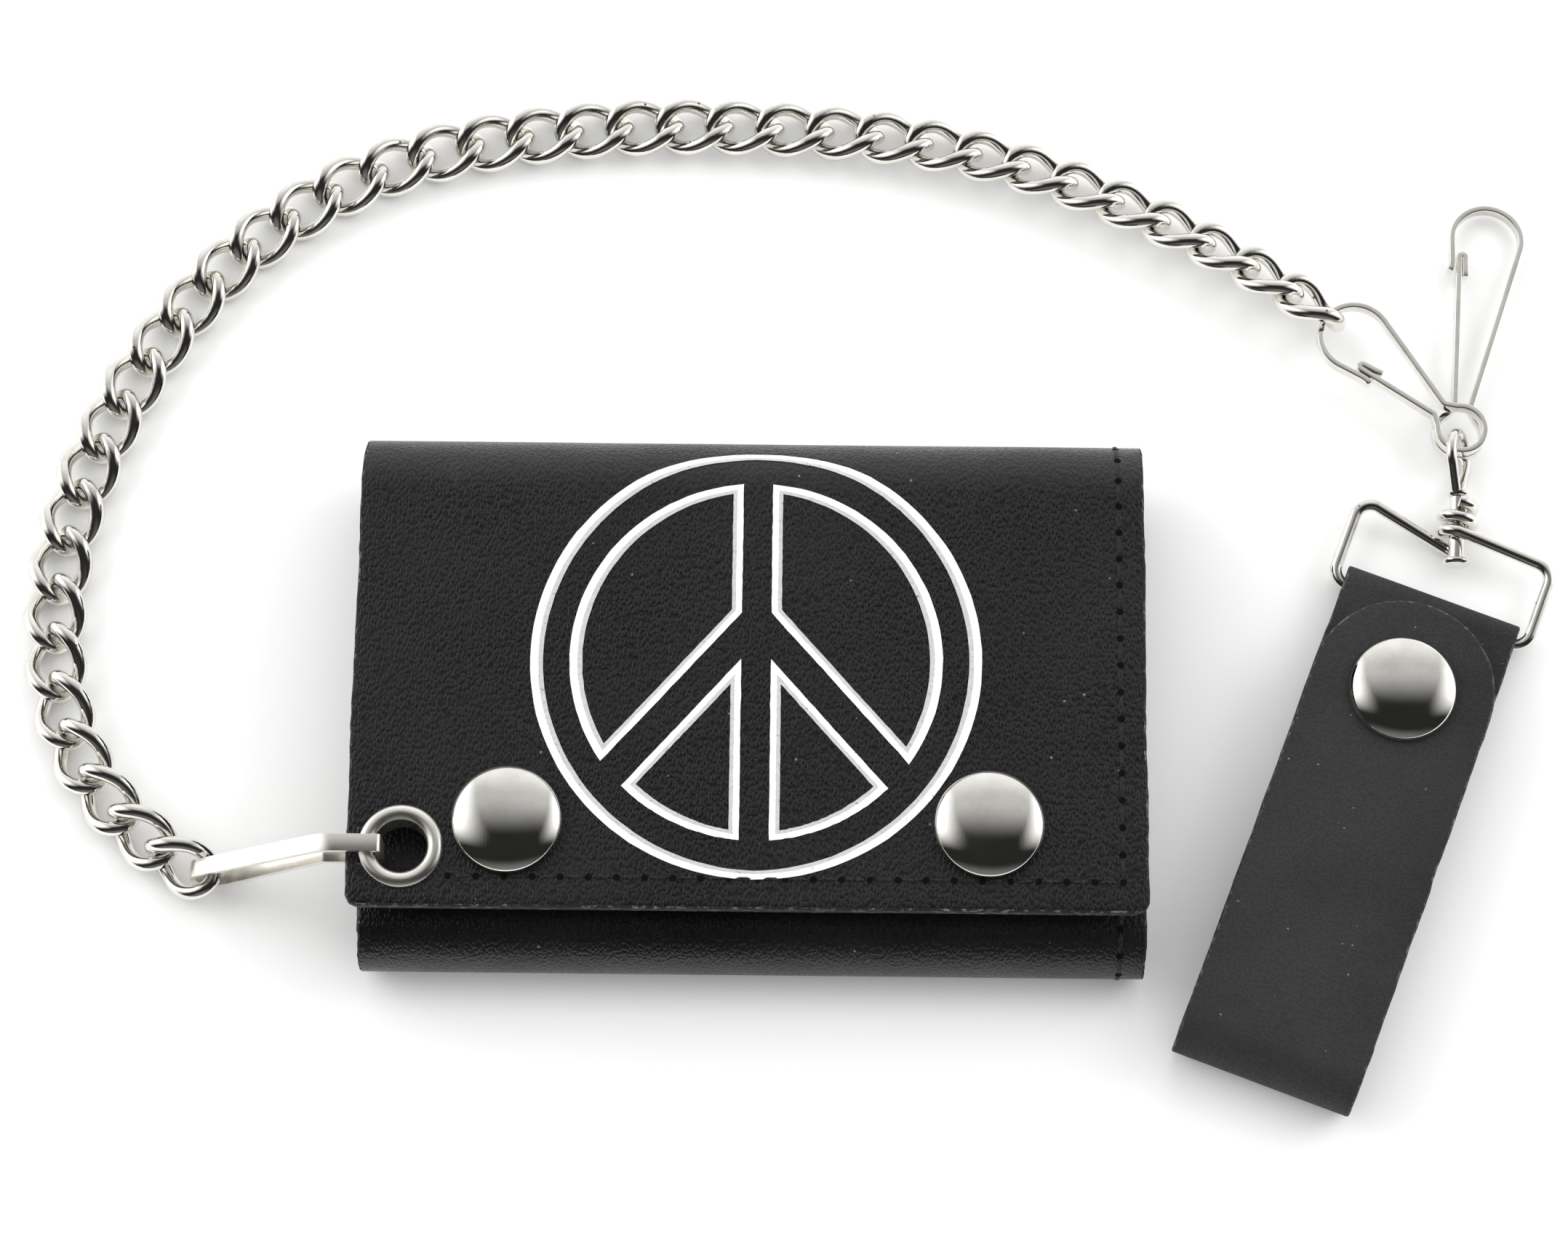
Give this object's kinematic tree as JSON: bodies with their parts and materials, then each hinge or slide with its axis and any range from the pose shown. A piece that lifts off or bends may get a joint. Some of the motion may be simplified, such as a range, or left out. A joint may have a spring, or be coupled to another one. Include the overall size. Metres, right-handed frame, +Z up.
{
  "type": "chain wallet",
  "caption": "Folded leather wallet with a snap-closed flap, a curb chain from an edge grommet to strip clips on a swivel, and a snap belt strap on a wire ring.",
  "frame": {"origin": "centre of the closed wallet's back face, on the table it lies on", "axes": "+X to the right of the snaps, +Y towards the top fold, +Z up from the table"},
  "size_m": [0.2154, 0.1501, 0.022],
  "materials": {
    "black_leather": "grained, soft gloss",
    "charcoal_leather": "matte, napped",
    "inner_leather": "matte",
    "nickel": "bright nickel plate",
    "steel": "plain"
  },
  "bodies": {
    "wallet_back": {"back_leather": "black_leather", "back_lining": "inner_leather", "card_pocket_rear": "inner_leather", "card_pocket_front": "inner_leather", "top_fold": "black_leather", "bottom_fold": "black_leather"},
    "flap": {"flap_leather": "black_leather", "flap_lining": "inner_leather", "flap_snap_cap_left": "nickel", "flap_snap_cap_right": "nickel", "flap_snap_socket_left": "steel", "flap_snap_socket_right": "steel", "grommet_eyelet": "nickel", "grommet_washer": "steel"},
    "front_panel": {"front_leather": "black_leather", "front_lining": "inner_leather", "front_snap_stud_left": "steel", "front_snap_stud_right": "steel", "front_snap_post_left": "steel", "front_snap_post_right": "steel"},
    "connector": {"connector": "nickel"},
    "link_01": {"chain_link_01": "nickel"},
    "link_02": {"chain_link_02": "nickel"},
    "link_03": {"chain_link_03": "nickel"},
    "link_04": {"chain_link_04": "nickel"},
    "link_05": {"chain_link_05": "nickel"},
    "link_06": {"chain_link_06": "nickel"},
    "link_07": {"chain_link_07": "nickel"},
    "link_08": {"chain_link_08": "nickel"},
    "link_09": {"chain_link_09": "nickel"},
    "link_10": {"chain_link_10": "nickel"},
    "run_01": {"chain_run_01": "nickel"},
    "run_02": {"chain_run_02": "nickel"},
    "run_03": {"chain_run_03": "nickel"},
    "run_04": {"chain_run_04": "nickel"},
    "run_05": {"chain_run_05": "nickel"},
    "run_06": {"chain_run_06": "nickel"},
    "run_07": {"chain_run_07": "nickel"},
    "run_08": {"chain_run_08": "nickel"},
    "run_09": {"chain_run_09": "nickel"},
    "run_10": {"chain_run_10": "nickel"},
    "run_11": {"chain_run_11": "nickel"},
    "run_12": {"chain_run_12": "nickel"},
    "run_13": {"chain_run_13": "nickel"},
    "run_14": {"chain_run_14": "nickel"},
    "chain_clip": {"chain_clip": "nickel"},
    "spare_clip": {"spare_clip": "nickel"},
    "swivel": {"swivel_eye": "nickel"},
    "ring": {"strap_ring": "nickel"},
    "strap": {"strap_body": "charcoal_leather", "strap_fold": "charcoal_leather", "belt_snap_stud": "steel", "belt_snap_post": "steel"},
    "strap_tab": {"strap_tab": "charcoal_leather", "belt_snap_cap": "nickel", "belt_snap_socket": "steel"}
  },
  "joints": [
    {"name": "flap_fold", "type": "hinge", "parent": "wallet_back", "child": "flap", "pos_m": [0, 0.028, 0.0095], "axis": [-1, 0, 0], "range_deg": [0, 145], "deforming": ["top_fold"]},
    {"name": "front_fold", "type": "hinge", "parent": "wallet_back", "child": "front_panel", "pos_m": [0, -0.031, 0.0065], "axis": [1, 0, 0], "range_deg": [0, 36.26], "deforming": ["bottom_fold"]},
    {"name": "connector_swing", "type": "hinge", "parent": "flap", "child": "connector", "pos_m": [-0.0467, -0.0233, 0.019], "axis": [0, 0, 1], "range_deg": [0, 10]},
    {"name": "link_01_lift", "type": "hinge", "parent": "connector", "child": "link_01", "pos_m": [-0.0737, -0.0213, 0.00491], "axis": [1, 0, 0], "range_deg": [0, 7.26]},
    {"name": "link_02_lift", "type": "hinge", "parent": "link_01", "child": "link_02", "pos_m": [-0.07999, -0.02105, 0.00282], "axis": [1, 0, 0], "range_deg": [0, 15.32]},
    {"name": "link_03_lift", "type": "hinge", "parent": "link_02", "child": "link_03", "pos_m": [-0.08567, -0.01654, 0.00263], "axis": [1, 0, 0], "range_deg": [0, 15.32]},
    {"name": "link_04_lift", "type": "hinge", "parent": "link_03", "child": "link_04", "pos_m": [-0.09045, -0.01111, 0.00242], "axis": [1, 0, 0], "range_deg": [0, 15.32]},
    {"name": "link_05_lift", "type": "hinge", "parent": "link_04", "child": "link_05", "pos_m": [-0.09412, -0.00487, 0.00219], "axis": [1, 0, 0], "range_deg": [0, 15.32]},
    {"name": "link_06_lift", "type": "hinge", "parent": "link_05", "child": "link_06", "pos_m": [-0.09651, 0.00197, 0.00196], "axis": [1, 0, 0], "range_deg": [0, 15.32]},
    {"name": "link_07_lift", "type": "hinge", "parent": "link_06", "child": "link_07", "pos_m": [-0.09772, 0.00914, 0.00172], "axis": [1, 0, 0], "range_deg": [0, 15.32]},
    {"name": "link_08_lift", "type": "hinge", "parent": "link_07", "child": "link_08", "pos_m": [-0.09798, 0.01641, 0.00151], "axis": [1, 0, 0], "range_deg": [0, 15.32]},
    {"name": "link_09_lift", "type": "hinge", "parent": "link_08", "child": "link_09", "pos_m": [-0.09741, 0.02366, 0.00152], "axis": [1, 0, 0], "range_deg": [0, 15.32]},
    {"name": "link_10_lift", "type": "hinge", "parent": "link_09", "child": "link_10", "pos_m": [-0.09599, 0.0308, 0.00161], "axis": [1, 0, 0], "range_deg": [0, 15.32]},
    {"name": "run_01_swing", "type": "hinge", "parent": "link_10", "child": "run_01", "pos_m": [-0.09331, 0.03917, 0.0026], "axis": [0, 0, 1], "range_deg": [0, 10]},
    {"name": "run_02_swing", "type": "hinge", "parent": "run_01", "child": "run_02", "pos_m": [-0.08715, 0.05237, 0.00259], "axis": [0, 0, 1], "range_deg": [0, 10]},
    {"name": "run_03_swing", "type": "hinge", "parent": "run_02", "child": "run_03", "pos_m": [-0.07886, 0.06433, 0.00257], "axis": [0, 0, 1], "range_deg": [0, 10]},
    {"name": "run_04_swing", "type": "hinge", "parent": "run_03", "child": "run_04", "pos_m": [-0.06832, 0.07434, 0.00256], "axis": [0, 0, 1], "range_deg": [0, 10]},
    {"name": "run_05_swing", "type": "hinge", "parent": "run_04", "child": "run_05", "pos_m": [-0.05583, 0.08177, 0.00255], "axis": [0, 0, 1], "range_deg": [0, 10]},
    {"name": "run_06_swing", "type": "hinge", "parent": "run_05", "child": "run_06", "pos_m": [-0.04202, 0.08633, 0.00248], "axis": [0, 0, 1], "range_deg": [0, 10]},
    {"name": "run_07_swing", "type": "hinge", "parent": "run_06", "child": "run_07", "pos_m": [-0.02764, 0.08872, 0.00248], "axis": [0, 0, 1], "range_deg": [0, 10]},
    {"name": "run_08_swing", "type": "hinge", "parent": "run_07", "child": "run_08", "pos_m": [-0.01308, 0.08963, 0.00267], "axis": [0, 0, 1], "range_deg": [0, 10]},
    {"name": "run_09_swing", "type": "hinge", "parent": "run_08", "child": "run_09", "pos_m": [0.00152, 0.0894, 0.00285], "axis": [0, 0, 1], "range_deg": [0, 10]},
    {"name": "run_10_swing", "type": "hinge", "parent": "run_09", "child": "run_10", "pos_m": [0.01606, 0.08824, 0.00312], "axis": [0, 0, 1], "range_deg": [0, 10]},
    {"name": "run_11_swing", "type": "hinge", "parent": "run_10", "child": "run_11", "pos_m": [0.03038, 0.08552, 0.00358], "axis": [0, 0, 1], "range_deg": [0, 10]},
    {"name": "run_12_swing", "type": "hinge", "parent": "run_11", "child": "run_12", "pos_m": [0.04423, 0.08097, 0.00405], "axis": [0, 0, 1], "range_deg": [0, 10]},
    {"name": "run_13_swing", "type": "hinge", "parent": "run_12", "child": "run_13", "pos_m": [0.05752, 0.07494, 0.0045], "axis": [0, 0, 1], "range_deg": [0, 10]},
    {"name": "run_14_swing", "type": "hinge", "parent": "run_13", "child": "run_14", "pos_m": [0.07026, 0.06784, 0.00494], "axis": [0, 0, 1], "range_deg": [0, 10]},
    {"name": "chain_clip_swing", "type": "hinge", "parent": "run_14", "child": "chain_clip", "pos_m": [0.08184, 0.05996, 0.00527], "axis": [0, 0, 1], "range_deg": [0, 15]},
    {"name": "swivel_swing", "type": "hinge", "parent": "chain_clip", "child": "swivel", "pos_m": [0.10008, 0.04287, 0.00422], "axis": [0.0357, 0.0383, 0.9986], "range_deg": [0, 20]},
    {"name": "spare_clip_swing", "type": "hinge", "parent": "swivel", "child": "spare_clip", "pos_m": [0.10008, 0.04287, 0.00422], "axis": [0.0357, 0.0383, 0.9986], "range_deg": [-30, 0]},
    {"name": "ring_spin", "type": "hinge", "parent": "swivel", "child": "ring", "pos_m": [0.0993, 0.02774, 0.00346], "axis": [0.0519, 0.9974, 0.0506], "continuous": true},
    {"name": "strap_lift", "type": "hinge", "parent": "ring", "child": "strap", "pos_m": [0.09493, 0.01605, 0.0028], "axis": [-0.9367, 0.3502, 0], "range_deg": [0, 60]},
    {"name": "tab_fold", "type": "hinge", "parent": "strap", "child": "strap_tab", "pos_m": [0.07146, -0.04671, 0.0052], "axis": [0.9367, -0.3502, 0], "range_deg": [0, 150], "deforming": ["strap_fold"]}
  ],
  "couplings": [
    {"joint": "front_fold", "follows": "flap_fold", "ratio": 0.25},
    {"joint": "link_01_lift", "follows": "flap_fold", "ratio": 0.05},
    {"joint": "link_02_lift", "follows": "flap_fold", "ratio": 0.10556},
    {"joint": "link_03_lift", "follows": "flap_fold", "ratio": 0.10556},
    {"joint": "link_04_lift", "follows": "flap_fold", "ratio": 0.10556},
    {"joint": "link_05_lift", "follows": "flap_fold", "ratio": 0.10556},
    {"joint": "link_06_lift", "follows": "flap_fold", "ratio": 0.10556},
    {"joint": "link_07_lift", "follows": "flap_fold", "ratio": 0.10556},
    {"joint": "link_08_lift", "follows": "flap_fold", "ratio": 0.10556},
    {"joint": "link_09_lift", "follows": "flap_fold", "ratio": 0.10556},
    {"joint": "link_10_lift", "follows": "flap_fold", "ratio": 0.10556}
  ]
}
